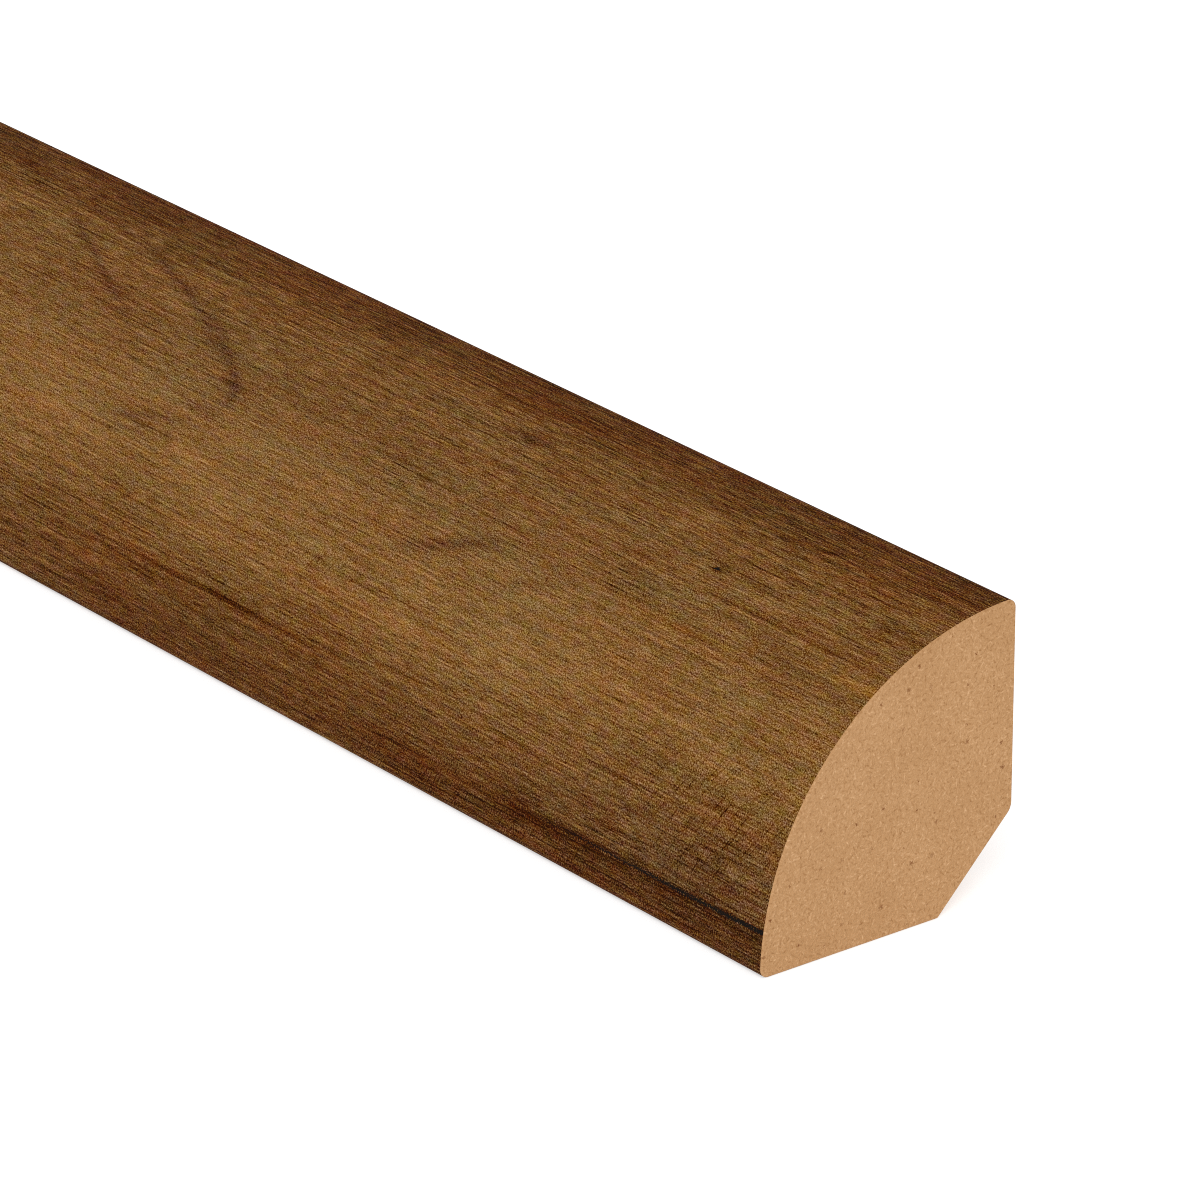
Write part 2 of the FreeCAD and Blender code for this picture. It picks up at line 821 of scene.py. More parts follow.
@dataclass(frozen=True)
class Tint:
    """How the print's hue leans to red and to yellow from place to place.

    Attributes:
        redness: Fine patches of red.
        yellowness: Fine patches of yellow.
        warmth: Long patches of red and some yellow.
        line_warmth: How warm the pale long lines are.
        yellow_share: How much a warm place leans to yellow.
        crown_red: How far the crown leans to red.
        crown_yellow: How far the crown leans to yellow.
        crown_width: How far from the crown that goes.
        middling: Lightness of a streak that leans neither way.
        golden_red: How far a streak leans to red for each step of lightness.
        golden_yellow: How far it leans to yellow.
        figure_red: How far the figure leans away from red.
        figure_yellow: How far it leans away from yellow.
        blushes: Spots that lean to red and yellow alike, or away from them below nought.
    """

    redness: Layer = Layer(length=1.1, width=0.7, strength=2.1, shift=89.0, detail=2.0)
    yellowness: Layer = Layer(length=0.9, width=0.42, strength=2.6, shift=103.0, detail=3.0)
    warmth: Layer = Layer(length=12.0, width=1.8, strength=1.5, shift=97.0, detail=2.0)
    line_warmth: float = 0.5
    yellow_share: float = 0.25
    crown_red: float = 0.4
    crown_yellow: float = 0.8
    crown_width: float = 5.0
    middling: float = 80.0
    golden_red: float = 0.016
    golden_yellow: float = 0.043
    figure_red: float = 0.8
    figure_yellow: float = 1.7
    blushes: tuple[Smudge, ...] = (
        Smudge(along=0.5, across=11.4, length=3.6, width=0.4, depth=3.2),
        Smudge(along=17.0, across=13.0, length=5.0, width=0.6, depth=1.2),
        Smudge(along=48.0, across=11.5, length=60.0, width=4.5, depth=-0.4),
        Smudge(along=4.0, across=26.0, length=18.0, width=4.0, depth=-1.2),
    )

    def leans(self, sheet: Print, streaks: Field, lines: Field, figure: Field) -> tuple[Field, Field]:
        """Works out both leans.

        Args:
            sheet: The printed sheet.
            streaks: Lightness of the print with its streaks alone, painted shade round the face included.
            lines: Noise of the long lines.
            figure: Strength of the arched figure.

        Returns:
            How far each point leans to red, and how far to yellow.
        """
        golden = streaks - self.middling
        warmth = sheet.layer(self.warmth) + lines * self.line_warmth
        crown = sheet.across.bell(0.0, self.crown_width)
        blush = sheet.marks(sheet.fibrous, self.blushes)
        red = warmth + golden * self.golden_red - figure * self.figure_red
        red = red + blush + sheet.layer(self.redness) + crown * self.crown_red
        yellow = warmth * self.yellow_share + golden * self.golden_yellow - figure * self.figure_yellow
        yellow = yellow + blush + sheet.layer(self.yellowness) + crown * self.crown_yellow
        return red, yellow


@dataclass(frozen=True)
class FoilFinish:
    """Printed wood grain: a dark brown wood with fine streaks, an arched figure and a heart line, with
    painted shade towards the crown and the toe.

    Attributes:
        name: Name of the material.
        gloss: How strongly it reflects.
        roughness: How matt it is.
        pore_gloss: How much glossier the pale side of a pore is.
        relief: Height of the pores, in metres.
        repeat: Length after which the print repeats.
        lead: How much of a repeat comes before the near end.
        mark_wander: How far clouds and fibres push the marks about.
        speckle: Fine speckle of the print, the same every way.
        dashes: Short streaks.
        pores: Streaks of middling length.
        lines: Long streaks.
        fibres: Broader streaks.
        bands: Long bands.
        clouds: Wide soft clouds.
        scores: Noise whose peaks are thin dark scores.
        score_cut: Noise at which a score starts and is full.
        pepper: Noise whose peaks are short dark flecks.
        pepper_cut: Noise at which such a fleck starts and is full.
        calm_middle: Distance from the crown at which the streaks are calmest.
        calm_width: Half width of the calm stretch.
        calm_contrast: How much calmer they are there.
        edge_contrast: Contrast of the streaks at the crown and the toe.
        busy: Places with more contrast, or less where it is below nought.
        smudges: Single dark and pale marks.
        tones: Colours of the print, with painted shade round the face.
        figure: Its arched figure.
        hatch: Its tool marks.
        heart: Its heart line and knot.
        tint: How its hue varies.
    """

    name: str = "printed_wood_foil"
    gloss: float = 0.012
    roughness: float = 0.56
    pore_gloss: float = 0.08
    relief: float = 0.00001
    repeat: float = 640.0
    lead: float = 80.0
    mark_wander: float = 0.1
    speckle: Layer = Layer(length=0.096, width=0.096, strength=42.0, shift=3.0)
    dashes: Layer = Layer(length=1.4, width=0.12, strength=12.0, shift=11.0)
    pores: Layer = Layer(length=5.0, width=0.12, strength=11.0, shift=23.0)
    lines: Layer = Layer(length=28.0, width=0.14, strength=5.5, shift=31.0)
    fibres: Layer = Layer(length=12.0, width=0.6, strength=3.4, shift=37.0, detail=1.0)
    bands: Layer = Layer(length=80.0, width=2.2, strength=3.0, shift=53.0, detail=2.0)
    clouds: Layer = Layer(length=18.0, width=6.0, strength=4.0, shift=71.0, detail=2.0)
    scores: Layer = Layer(length=10.0, width=0.12, strength=18.0, shift=43.0)
    score_cut: tuple[float, float] = (0.5, 1.0)
    pepper: Layer = Layer(length=0.4, width=0.13, strength=24.0, shift=61.0)
    pepper_cut: tuple[float, float] = (0.4, 1.0)
    calm_middle: float = 16.0
    calm_width: float = 8.0
    calm_contrast: float = 0.6
    edge_contrast: float = 1.5
    busy: tuple[Smudge, ...] = (
        Smudge(along=52.0, across=27.5, length=26.0, width=3.5, depth=-0.35),
        Smudge(along=240.0, across=15.0, length=40.0, width=5.0, depth=-0.2),
        Smudge(along=440.0, across=12.0, length=40.0, width=5.0, depth=-0.2),
    )
    smudges: tuple[Smudge, ...] = (
        Smudge(along=60.0, across=24.4, length=4.0, width=0.14, depth=30.0),
        Smudge(along=54.0, across=24.3, length=3.0, width=0.2, depth=42.0),
        Smudge(along=48.0, across=24.4, length=5.0, width=0.14, depth=30.0),
        Smudge(along=64.0, across=25.2, length=8.0, width=0.5, depth=10.0),
        Smudge(along=94.0, across=2.3, length=4.0, width=0.35, depth=-14.0),
        Smudge(along=17.1, across=8.35, length=0.6, width=0.16, slant=0.25, depth=30.0),
        Smudge(along=12.6, across=3.8, length=0.5, width=0.16, slant=0.2, depth=45.0),
        Smudge(along=15.6, across=4.0, length=1.3, width=0.15, depth=24.0),
        Smudge(along=9.0, across=10.1, length=8.0, width=0.2, depth=22.0),
        Smudge(along=40.0, across=2.6, length=9.0, width=1.2, depth=6.0),
        Smudge(along=55.0, across=4.6, length=16.0, width=1.8, depth=-5.0),
        Smudge(along=3.0, across=7.3, length=6.0, width=1.4, depth=5.0),
        Smudge(along=4.0, across=28.6, length=20.0, width=1.6, depth=9.0),
        Smudge(along=19.0, across=27.6, length=6.0, width=0.35, depth=22.0),
        Smudge(along=88.0, across=28.6, length=25.0, width=2.5, depth=-6.0),
        Smudge(along=1.5, across=11.4, length=2.6, width=0.35, depth=-14.0),
        Smudge(along=8.0, across=27.4, length=20.0, width=0.5, depth=13.0),
        Smudge(along=185.0, across=18.0, length=22.0, width=0.22, slant=0.01, depth=34.0),
        Smudge(along=300.0, across=7.0, length=45.0, width=0.3, slant=-0.012, depth=40.0),
        Smudge(along=345.0, across=24.0, length=30.0, width=1.4, depth=14.0),
        Smudge(along=485.0, across=21.0, length=34.0, width=0.26, slant=0.008, depth=46.0),
    )
    tones: Tones = Tones()
    figure: Figure = Figure()
    hatch: Hatch = Hatch()
    heart: Heart = Heart()
    tint: Tint = Tint()

    def material(self) -> bpy.types.Material:
        """Builds the foil's material.

        Returns:
            The finished material.
        """
        recipe = Recipe(self.name)
        place = recipe.place()
        distance, across, _ = recipe.parts(place)
        along = recipe.sum(Op.WRAP, distance, self.repeat - self.lead, -self.lead)
        broad, fine = (self.fibres, self.bands, self.clouds), (self.dashes, self.pores, self.lines)
        noises = {layer: layer.field(recipe, place) for layer in (*broad, *fine, self.speckle)}
        cloudy = recipe.join(along, across + noises[self.clouds] * self.mark_wander)
        fibrous = recipe.join(along, across + noises[self.fibres] * self.mark_wander)
        sheet = Print(recipe, place, along, across, cloudy, fibrous)
        contrast = self.contrast(sheet)
        for layer in fine:
            noises[layer] = noises[layer] * contrast
        # The streaks start from the lightness round the face, which holds painted shade towards the crown
        # and the toe.
        streaks = self.tones.print_and_painted_shade(recipe, across)
        for layer in (*broad, *fine):
            streaks = streaks + noises[layer] * layer.strength
        figure = self.figure.field(sheet, noises[self.clouds])
        heart = self.heart.field(sheet, noises[self.speckle])
        light = streaks + noises[self.speckle] * self.speckle.strength - self.nicks(sheet, contrast)
        light = light - figure * self.figure.depth - sheet.marks(fibrous, self.smudges)
        light = light - self.hatch.field(sheet) - heart * self.heart.depth
        red, yellow = self.tint.leans(sheet, streaks, noises[self.lines], figure)
        colour = self.tones.colour(recipe, light, red, yellow)
        colour = recipe.mix(heart.step(*self.heart.cut), colour, self.heart.ink)
        pores = noises[self.pores]
        recipe.finish(colour, self.roughness - self.pore_gloss * pores, self.gloss, pores, self.relief)
        return recipe.material

    def contrast(self, sheet: Print) -> Field:
        """Contrast of the streaks: lowest on the calm stretch, and set at the busy places."""
        calm = sheet.across.bell(self.calm_middle, self.calm_width)
        return self.edge_contrast - calm * self.calm_contrast + sheet.marks(sheet.cloudy, self.busy)

    def nicks(self, sheet: Print, contrast: Field) -> Field:
        """Darkness of the scores and the pepper.

        Args:
            sheet: The printed sheet.
            contrast: Contrast of the streaks, which the scores share.

        Returns:
            The darkness.
        """
        scores = self.scores.field(sheet.recipe, sheet.place).step(*self.score_cut) * contrast
        pepper = self.pepper.field(sheet.recipe, sheet.place).step(*self.pepper_cut)
        return scores * self.scores.strength + pepper * self.pepper.strength


@dataclass(frozen=True)
class FibreboardFinish:
    """Bare fibreboard: a fine felt with pale and dark fibres in it and sparse dark specks.

    Attributes:
        name: Name of the material.
        gloss: How strongly it reflects.
        roughness: How matt it is.
        relief: Height of the felt, in metres.
        body: Colour of the felt.
        pale: Colour of its palest fibres.
        deep: Colour of its darkest fibres.
        bark: Colour of the specks.
        middling: Place of the felt's own colour between the darkest and the palest.
        fuzz: Finest unevenness of the felt.
        tangle: Coarser unevenness.
        drift: Slow change over the surface.
        strands: Its fibres.
        speck_spacing: Usual distance from one speck to the next.
        speck_shift: How far the specks are moved, so that they match no layer.
        speck_least: Radius of the smallest speck, as a share of the spacing.
        speck_spread: How much larger the largest is.
        speck_fray: How far the fuzz frays a speck's edge.
        speck_edge: Distances at which a speck starts and is full, in its own radii.
    """

    name: str = "bare_fibreboard"
    gloss: float = 0.05
    roughness: float = 0.86
    relief: float = 0.000012
    body: Colour = linear(178, 136, 94)
    pale: Colour = linear(220, 179, 137)
    deep: Colour = linear(141, 97, 56)
    bark: Colour = linear(122, 76, 42)
    middling: float = 0.5
    fuzz: Layer = Layer(length=0.1, width=0.1, strength=0.12, shift=17.0)
    tangle: Layer = Layer(length=0.35, width=0.35, strength=0.05, shift=5.0, detail=1.0)
    drift: Layer = Layer(length=4.0, width=4.0, strength=0.06, shift=29.0)
    strands: tuple[Strands, ...] = (
        Strands(spacing=0.28, length=0.12, width=0.04, strength=0.42, shift=11.0),
        Strands(spacing=0.5, length=0.2, width=0.045, strength=0.42, shift=19.0),
        Strands(spacing=0.28, length=0.11, width=0.04, strength=-0.6, shift=67.0),
        Strands(spacing=0.5, length=0.2, width=0.05, strength=-0.55, shift=83.0),
    )
    speck_spacing: float = 2.2
    speck_shift: float = 41.0
    speck_least: float = 0.015
    speck_spread: float = 0.08
    speck_fray: float = 0.03
    speck_edge: tuple[float, float] = (1.0, 0.2)

    def material(self) -> bpy.types.Material:
        """Builds the fibreboard's material.

        Returns:
            The finished material.
        """
        recipe = Recipe(self.name)
        place = recipe.place()
        felt = {layer: layer.field(recipe, place) for layer in (self.fuzz, self.tangle, self.drift)}
        light: Scalar = 0.0
        for layer, noise in felt.items():
            light = noise * layer.strength + light
        for strands in self.strands:
            light = light + strands.field(recipe, place)
        stops = [(0.0, self.deep), (self.middling, self.body), (1.0, self.pale)]
        colour = recipe.ramp(light * self.middling + self.middling, stops)
        cell = 1 / self.speck_spacing
        specks = recipe.cells(recipe.scaled(place, (cell, cell, 1.0), self.speck_shift))
        radius = specks.weight * self.speck_spread + self.speck_least
        away = (specks.distance + felt[self.fuzz] * self.speck_fray) / radius
        colour = recipe.mix(away.step(*self.speck_edge) * specks.turn, colour, self.bark)
        recipe.finish(colour, self.roughness, self.gloss, felt[self.tangle] + felt[self.fuzz], self.relief)
        return recipe.material


@dataclass(frozen=True)
class FloorFinish:
    """Plain white floor, lit a little from below as a photographer's light table is.

    Attributes:
        name: Name of the material.
        shade: How much of the light that falls on it the floor gives back.
        glow: Brightness of its own light.
    """

    name: str = "white_floor"
    shade: float = 0.6
    glow: float = 0.55

    def material(self) -> bpy.types.Material:
        """Builds the floor's material.

        Returns:
            The finished material.
        """
        material = bpy.data.materials.new(self.name)
        material.use_nodes = True
        surface = material.node_tree.nodes["Principled BSDF"]
        surface.inputs["Base Color"].default_value = (self.shade, self.shade, self.shade, 1.0)
        surface.inputs["Roughness"].default_value = 1.0
        surface.inputs["Specular IOR Level"].default_value = 0.0
        surface.inputs["Emission Color"].default_value = (1.0, 1.0, 1.0, 1.0)
        surface.inputs["Emission Strength"].default_value = self.glow
        return material


class Cover(Enum):
    """What covers a stretch of the section. The value is the material's place on the strip."""

    FOIL = 0
    FIBREBOARD = 1


@dataclass(frozen=True)
class Run:
    """A stretch of the section, as points (y, z) with outward normals.

    Attributes:
        points: Points from its start to its end, anticlockwise seen from the near end.
        normals: Outward normal at each point.
        cover: What covers it.
    """

    points: np.ndarray
    normals: np.ndarray
    cover: Cover

    @classmethod
    def straight(cls, start: np.ndarray, end: np.ndarray, cover: Cover) -> "Run":
        """Straight stretch: its normal is its direction turned a quarter turn clockwise.

        Args:
            start: Where it starts.
            end: Where it ends.
            cover: What covers it.

        Returns:
            The stretch.
        """
        forward = (end - start) / np.linalg.norm(end - start)
        normal = np.array([forward[1], -forward[0]])
        return cls(np.stack([start, end]), np.stack([normal, normal]), cover)

    @classmethod
    def arc(
        cls, centre: np.ndarray, radius: float, start: float, end: float, steps: int, cover: Cover
    ) -> "Run":
        """Round stretch: centre + radius * (cos a, sin a), with a going evenly from start to end.

        Args:
            centre: Its centre.
            radius: Its radius.
            start: Angle at which it starts.
            end: Angle at which it ends.
            steps: Sides that make it up.
            cover: What covers it.

        Returns:
            The stretch.
        """
        angle = np.linspace(start, end, steps + 1)
        normals = np.stack([np.cos(angle), np.sin(angle)], axis=1)
        return cls(centre + radius * normals, normals, cover)


@dataclass(frozen=True)
class Outline:
    """The whole section as a closed ring of short sides.

    Attributes:
        points: Start point (y, z) of each side.
        starts: Normal at each side's start.
        ends: Normal at each side's end.
        girth: Distance round the face at each side's start, and at the last side's end.
        cover: What covers each side.
    """

    points: np.ndarray
    starts: np.ndarray
    ends: np.ndarray
    girth: np.ndarray
    cover: np.ndarray


@dataclass(frozen=True)
class Section:
    """The moulding's section: a quarter circle with eased noses and a bevelled hidden corner.

    Attributes:
        size: Reach along the floor and up the wall.
        nose: Radius of the eased edges at the toe and the crown.
        bevel: How much of each flat face the bevel takes.
        arris: Radius where the bevel runs into the wall face.
        lap: How far the foil goes on past each nose, onto the flat faces.
        face_steps: Sides that make up the round face.
        nose_steps: Sides that make up a nose.
        arris_steps: Sides that make up the arris.
    """

    size: float
    nose: float = 0.0006
    bevel: float = 0.0056
    arris: float = 0.0010
    lap: float = 0.004
    face_steps: int = 72
    nose_steps: int = 12
    arris_steps: int = 8

    def runs(self) -> list[Run]:
        """Lays out the section, from the foil's edge on the floor round to the same place.

        The round face is centred on the corner of wall and floor. A nose touches it from inside,
        on the line from that corner through the nose's centre.

        Returns:
            The stretches in order, first the bare ones and then those under the foil.
        """
        corner = np.array([self.size / 2, 0.0])
        reach = self.size - self.nose
        tilt = math.atan2(self.nose, reach)
        face_radius = self.nose + math.hypot(self.nose, reach)
        toe = corner + [-reach, self.nose]
        crown = corner + [-self.nose, reach]
        eighth = math.pi / 4
        arris = corner + [-self.arris, self.bevel + self.arris * math.tan(eighth / 2)]
        floor_edge = toe + [self.lap, -self.nose]
        wall_edge = crown + [self.nose, -self.lap]
        up, left, down = 2 * eighth, 4 * eighth, 6 * eighth
        bare, foil = Cover.FIBREBOARD, Cover.FOIL
        arris_run = Run.arc(arris, self.arris, -eighth, 0.0, self.arris_steps, bare)
        crown_run = Run.arc(crown, self.nose, 0.0, up + tilt, self.nose_steps, foil)
        face_run = Run.arc(corner, face_radius, up + tilt, left - tilt, self.face_steps, foil)
        toe_run = Run.arc(toe, self.nose, left - tilt, down, self.nose_steps, foil)
        bevel_start = corner + [-self.bevel, 0.0]
        return [
            Run.straight(floor_edge, bevel_start, bare),
            Run.straight(bevel_start, arris_run.points[0], bare),
            arris_run,
            Run.straight(arris_run.points[-1], wall_edge, bare),
            Run.straight(wall_edge, crown_run.points[0], foil),
            crown_run,
            face_run,
            toe_run,
            Run.straight(toe_run.points[-1], floor_edge, foil),
        ]

    def outline(self) -> Outline:
        """Joins the runs into one ring.

        Girth is the length of the sides added up, counted from where the round face would reach
        the wall if the crown weren't eased.

        Returns:
            The ring of sides.
        """
        runs = self.runs()
        points = np.concatenate([run.points[:-1] for run in runs])
        starts = np.concatenate([run.normals[:-1] for run in runs])
        ends = np.concatenate([run.normals[1:] for run in runs])
        cover = np.concatenate([np.full(len(run.points) - 1, run.cover.value) for run in runs])
        lengths = np.linalg.norm(np.roll(points, -1, axis=0) - points, axis=1)
        girth = np.concatenate([[0.0], np.cumsum(lengths)])
        face_start = sum(len(run.points) - 1 for run in runs[:RUNS_BEFORE_FACE])
        return Outline(points, starts, ends, girth - girth[face_start] + self.nose, cover)


@dataclass(frozen=True)
class BakeSheet:
    """Where the strip's faces lie on the square sheet that its finish is baked to.

    The strip is folded into rows, because it is over a hundred times longer than it is wide.

    Attributes:
        rows: Lengths that the strip is folded into.
        foil_row: Height of a row of foil, as a share of the sheet.
        bare_row: Height of a row of bare fibreboard.
        end_side: Side of the square that holds a sawn end.
        gap: Gap round each row.
    """

    rows: int = 4
    foil_row: float = 0.165
    bare_row: float = 0.042
    end_side: float = 0.13
    gap: float = 0.004

    def side(self, along: np.ndarray, row: np.ndarray, share: np.ndarray, cover: np.ndarray) -> np.ndarray:
        """Places corners of the long faces.

        Args:
            along: Distance along its row, 0 to 1.
            row: Row that the corner's face is in.
            share: Distance across its row, 0 to 1.
            cover: What covers the face.

        Returns:
            Places on the sheet.
        """
        foil = cover == Cover.FOIL.value
        height = np.where(foil, self.foil_row, self.bare_row)
        floor = np.where(foil, 0.0, self.rows * self.foil_row) + row * height
        across = floor + self.gap / 2 + share * (height - self.gap)
        return np.stack([self.gap + along * (1 - 2 * self.gap), across], axis=-1)

    def end(self, places: np.ndarray, low: np.ndarray, size: float, order: int) -> np.ndarray:
        """Places corners of a sawn end.

        Args:
            places: Points (y, z) of the end.
            low: Its lowest corner.
            size: Its width and height.
            order: 0 or 1, for the near end or the far one.

        Returns:
            Places on the sheet.
        """
        share = (places - low) / size
        base = np.array([self.gap + order * (self.end_side + self.gap), 1 - self.gap - self.end_side])
        return base + share * self.end_side


@dataclass(frozen=True)
class Patch:
    """Some faces of the strip, with what each of their corners carries.

    Attributes:
        faces: Vertices of each face, outward side anticlockwise.
        normals: Normal at each corner.
        grain: Distance from the near end and from the crown at each corner.
        bake: Place on the bake sheet at each corner.
        cover: What covers each face.
    """

    faces: np.ndarray
    normals: np.ndarray
    grain: np.ndarray
    bake: np.ndarray
    cover: np.ndarray


@dataclass
class Strip:
    """The moulding: its section carried along its length, with both sawn ends closed.

    Attributes:
        section: Its section.
        length: Its length.
        sheet: Layout for the bake.
        stations: Lengths of the strip between one ring of vertices and the next.
        ease: How much the saw's fuzz softens the edge of an end.
        end_rings: Rings on a sawn end, as shares of the way out from its middle.
        name: Name of the piece.
    """

    section: Section
    length: float
    sheet: BakeSheet = BakeSheet()
    stations: int = 32
    ease: float = 0.0001
    end_rings: tuple[float, ...] = (1.0, 0.6, 0.25)
    name: str = "wrapped_strip"

    def __post_init__(self) -> None:
        """Works out the section's ring once."""
        self.ring = self.section.outline()
        self.sides = len(self.ring.points)

    def vertices(self) -> np.ndarray:
        """Works out every vertex.

        A long ring is the section at one x. An end ring is the section drawn in by the ease along
        its normals, and then towards the section's middle by a share, at the very end. The middle
        itself comes last.

        Returns:
            Places of the vertices: long rings, near end's rings and middle, far end's.
        """
        half = self.length / 2
        x = np.linspace(-half + self.ease, half - self.ease, self.stations + 1)
        long_rings = np.empty((len(x), self.sides, 3))
        long_rings[:, :, 0] = x[:, None]
        long_rings[:, :, 1:] = self.ring.points
        normals = self.ring.starts + np.roll(self.ring.ends, 1, axis=0)
        normals /= np.linalg.norm(normals, axis=1, keepdims=True)
        edge = self.ring.points - self.ease * normals
        middle = self.ring.points.mean(axis=0)
        shares = np.array([*self.end_rings])[:, None, None]
        rings = middle + shares * (edge - middle)
        flat = np.concatenate([rings.reshape(-1, 2), middle[None]])
        ends = [np.column_stack([np.full(len(flat), place), flat]) for place in (half, -half)]
        return np.concatenate([long_rings.reshape(-1, 3), *ends])

    def long_faces(self) -> Patch:
        """Faces between the long rings.

        Corner order is along the section first and then along x, which turns faces outwards.

        Returns:
            The patch, ring by ring.
        """
        station, side = np.meshgrid(np.arange(self.stations), np.arange(self.sides), indexing="ij")
        station, side = station.ravel(), side.ravel()
        after = (side + 1) % self.sides
        here, there = station * self.sides, (station + 1) * self.sides
        faces = np.stack([here + side, here + after, there + after, there + side], axis=1)
        starts = np.column_stack([np.zeros(self.sides), self.ring.starts])[side]
        ends = np.column_stack([np.zeros(self.sides), self.ring.ends])[side]
        normals = np.stack([starts, ends, ends, starts], axis=1)
        step = self.length / self.stations
        far = self.length - station * step
        along = np.stack([far, far, far - step, far - step], axis=1)
        low, high = self.ring.girth[side], self.ring.girth[side + 1]
        across = np.stack([low, high, high, low], axis=1)
        cover = self.ring.cover[side]
        per_row = self.stations // self.sheet.rows
        row = (station // per_row)[:, None]
        in_row = (station % per_row)[:, None] + np.array([0, 0, 1, 1])
        foil = (cover == Cover.FOIL.value)[:, None]
        first_foil = self.ring.girth[:-1][self.ring.cover == Cover.FOIL.value][0]
        foil_share = (across - first_foil) / (self.ring.girth[-1] - first_foil)
        bare_share = (across - self.ring.girth[0]) / (first_foil - self.ring.girth[0])
        share = np.where(foil, foil_share, bare_share)
        bake = self.sheet.side(in_row / per_row, row, share, cover[:, None])
        return Patch(faces, normals, np.stack([along, across], axis=-1), bake, cover)

    def end_faces(self, near: bool, vertices: np.ndarray) -> list[Patch]:
        """Faces of a sawn end: the eased edge, the rings and the fan round the middle.

        Args:
            near: Whether it is the near end and not the far one.
            vertices: Places of all vertices.

        Returns:
            A patch of four-sided faces and one of triangles.
        """
        side = np.arange(self.sides)
        after = (side + 1) % self.sides
        long_count = (self.stations + 1) * self.sides
        count = len(self.end_rings) * self.sides
        base = long_count + (0 if near else count + 1)
        last = self.stations * self.sides if near else 0
        starts = [last] + [base + ring * self.sides for ring in range(len(self.end_rings))]
        quads = [
            np.stack([outer + side, outer + after, inner + after, inner + side], axis=1)
            for outer, inner in zip(starts[:-1], starts[1:])
        ]
        middle = np.full(self.sides, base + count)
        fan = np.stack([starts[-1] + side, starts[-1] + after, middle], axis=1)
        outward = 1.0 if near else -1.0
        patches = []
        rim = np.column_stack([np.full(self.sides, outward), self.ring.starts + self.ring.ends])
        rim[:, 1:] /= np.linalg.norm(rim[:, 1:], axis=1, keepdims=True)
        rim /= np.linalg.norm(rim, axis=1, keepdims=True)
        for faces in (np.concatenate(quads), fan):
            turned = faces if near else faces[:, ::-1]
            normals = np.zeros((*turned.shape, 3))
            normals[:, :, 0] = outward
            if faces is not fan:
                normals[: self.sides] = rim[:, None, :]
            places = vertices[turned][:, :, 1:]
            low = np.array([-self.section.size / 2, 0.0])
            bake = self.sheet.end(places, low, self.section.size, 0 if near else 1)
            cover = np.full(len(turned), Cover.FIBREBOARD.value)
            patches.append(Patch(turned, normals, places, bake, cover))
        return patches

    def build(self) -> bpy.types.Object:
        """Makes the strip's mesh and dresses it.

        Returns:
            The strip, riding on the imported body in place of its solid.
        """
        vertices = self.vertices()
        patches = [self.long_faces(), *self.end_faces(True, vertices), *self.end_faces(False, vertices)]
        mesh = bpy.data.meshes.new(self.name)
        faces = [face for patch in patches for face in patch.faces.tolist()]
        mesh.from_pydata(vertices.tolist(), [], faces)
        for finish in (FoilFinish(), FibreboardFinish()):
            mesh.materials.append(finish.material())
        cover = np.concatenate([patch.cover for patch in patches]).astype(np.int32)
        mesh.polygons.foreach_set("material_index", cover)
        for name, rows in (
            (GRAIN_MAP, [patch.grain for patch in patches]),
            (BAKE_MAP, [patch.bake for patch in patches]),
        ):
            layer = mesh.uv_layers.new(name=name)
            places = np.concatenate([part.reshape(-1, 2) for part in rows])
            layer.data.foreach_set("uv", places.astype(np.float32).ravel())
        mesh.uv_layers.active = mesh.uv_layers[GRAIN_MAP]
        normals = np.concatenate([patch.normals.reshape(-1, 3) for patch in patches])
        mesh.normals_split_custom_set(normals.tolist())
        piece = bpy.data.objects.new(self.name, mesh)
        bpy.context.scene.collection.objects.link(piece)
        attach(piece, BODY)
        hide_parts(NODE)
        return piece


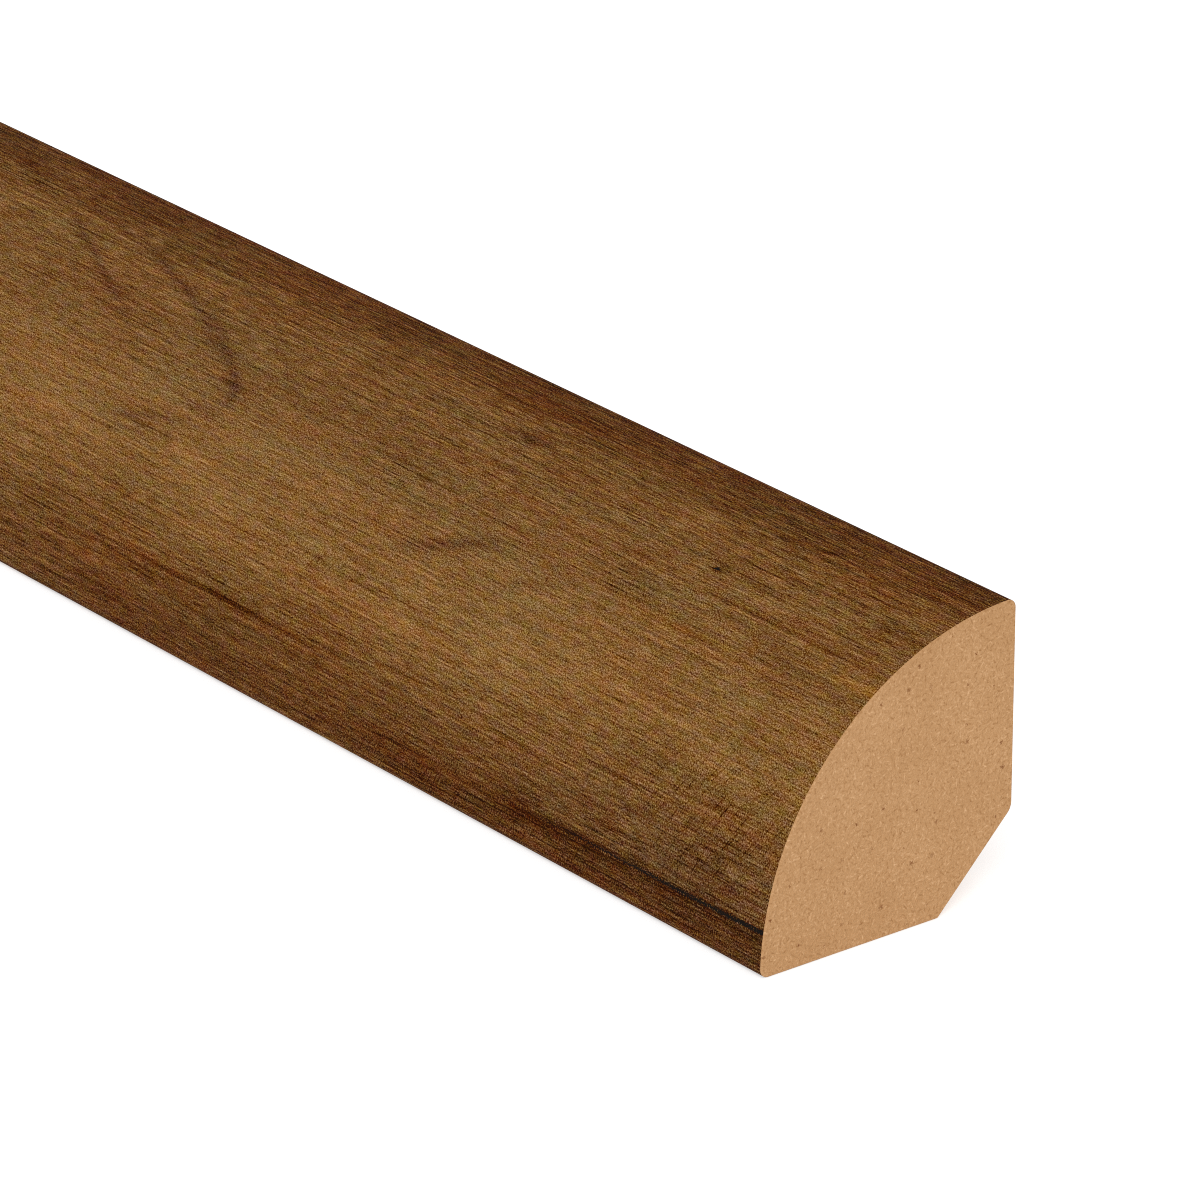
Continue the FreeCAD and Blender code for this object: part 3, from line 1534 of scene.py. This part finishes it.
@dataclass(frozen=True)
class Studio:
    """Plain white floor, soft light from all round and one large soft light beside the camera.

    Attributes:
        floor_reach: Half width of the floor.
        floor_gap: How far the floor lies below the strip, so that the two faces don't meet.
        sky: Brightness of the light overhead.
        horizon: Brightness of the light at the horizon.
        key: Brightness that the key light alone gives a white surface turned to it.
        key_azimuth: Where the key light stands, in degrees round from the front.
        key_elevation: How high the key light stands, in degrees.
        key_spread: Apparent width of the key light, in degrees.
        pixel_filter: Width over which a pixel gathers light, narrow so that the print stays crisp.
    """

    floor_reach: float = 80.0
    floor_gap: float = 0.00002
    sky: float = 0.68
    horizon: float = 0.9
    key: float = 0.42
    key_azimuth: float = 54.0
    key_elevation: float = 46.0
    key_spread: float = 24.0
    pixel_filter: float = 1.0

    def floor(self) -> bpy.types.Object:
        """Lays the floor.

        Returns:
            The floor, marked as not part of the object.
        """
        across = np.array([-1.0, 1.0]) * self.floor_reach
        x, y = np.meshgrid(across, across)
        corners = np.stack([x, y, np.full_like(x, -self.floor_gap)], axis=-1).reshape(-1, 3)
        mesh = bpy.data.meshes.new("floor")
        mesh.from_pydata(corners.tolist(), [], [(0, 1, 3, 2)])
        mesh.materials.append(FloorFinish().material())
        floor = bpy.data.objects.new("floor", mesh)
        bpy.context.scene.collection.objects.link(floor)
        floor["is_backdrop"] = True
        return floor

    def light(self) -> None:
        """Sets the light all round, brighter at the horizon than overhead, and the key light.

        Denoising is off, because it takes the print's speckle for noise.
        """
        scene = bpy.context.scene
        world = bpy.data.worlds.new("studio")
        world.use_nodes = True
        scene.world = world
        nodes, links = world.node_tree.nodes, world.node_tree.links
        where = nodes.new("ShaderNodeTexCoord")
        height = nodes.new("ShaderNodeSeparateXYZ")
        rise = nodes.new("ShaderNodeMapRange")
        rise.inputs["To Min"].default_value = self.horizon
        rise.inputs["To Max"].default_value = self.sky
        links.new(where.outputs["Generated"], height.inputs[0])
        links.new(height.outputs["Z"], rise.inputs["Value"])
        links.new(rise.outputs[0], nodes["Background"].inputs["Strength"])
        nodes["Background"].inputs["Color"].default_value = (1.0, 1.0, 1.0, 1.0)
        lamp = bpy.data.lights.new("key", "SUN")
        lamp.energy = self.key * math.pi
        lamp.angle = math.radians(self.key_spread)
        key = bpy.data.objects.new("key", lamp)
        scene.collection.objects.link(key)
        key.rotation_mode = "QUATERNION"
        key.rotation_quaternion = towards(self.key_azimuth, self.key_elevation).to_track_quat("Z", "Y")
        scene.view_settings.view_transform = "Standard"
        scene.cycles.use_denoising = False
        scene.cycles.filter_width = self.pixel_filter


def towards(azimuth: float, elevation: float) -> Vector:
    """Direction from the object to something round it.

    Args:
        azimuth: Degrees round from the front, 90 being at the near end.
        elevation: Degrees up from the floor.

    Returns:
        The direction, one unit long.
    """
    turn, rise = math.radians(azimuth), math.radians(elevation)
    return Vector((math.sin(turn) * math.cos(rise), -math.cos(turn) * math.cos(rise), math.sin(rise)))


@dataclass(frozen=True)
class Viewpoint:
    """Where the camera stands.

    Attributes:
        azimuth: Direction from the object to the camera, in degrees round from the front.
        elevation: Height of that direction, in degrees.
        stand_off: Camera's place, from the near end's corner of wall and floor.
        lens: Focal length, in millimetres.
        sensor: Width of the sensor, in millimetres.
        nearest: Distance within which nothing shows.
        furthest: Distance beyond which nothing shows.
    """

    azimuth: float = 51.901
    elevation: float = 23.153
    stand_off: tuple[float, float, float] = (0.32013, -0.28192, 0.20104)
    lens: float = 238.146
    sensor: float = 36.0
    nearest: float = 0.02
    furthest: float = 400.0

    def camera(self, corner: Vector) -> bpy.types.Object:
        """Sets up the camera.

        Args:
            corner: The near end's corner of wall and floor.

        Returns:
            The camera.
        """
        lens = bpy.data.cameras.new("camera")
        lens.sensor_width = self.sensor
        lens.lens = self.lens
        lens.clip_start = self.nearest
        lens.clip_end = self.furthest
        camera = bpy.data.objects.new("camera", lens)
        bpy.context.scene.collection.objects.link(camera)
        camera.location = corner + Vector(self.stand_off)
        camera.rotation_mode = "QUATERNION"
        camera.rotation_quaternion = towards(self.azimuth, self.elevation).to_track_quat("Z", "Y")
        bpy.context.scene.camera = camera
        return camera


def main() -> None:
    """Builds the strip, then the studio round it."""
    logging.basicConfig(level=logging.INFO, format="%(name)s: %(message)s")
    low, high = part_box(NODE)
    strip = Strip(Section(size=high.z - low.z), length=high.x - low.x)
    piece = strip.build()
    log.info("%s: %d faces", piece.name, len(piece.data.polygons))
    studio = Studio()
    log.info("%s: stage", studio.floor().name)
    studio.light()
    camera = Viewpoint().camera(Vector((high.x, high.y, low.z)))
    log.info("%s at %s", camera.name, tuple(round(value, 3) for value in camera.location))
    low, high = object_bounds()


if __name__ == "__main__":
    main()
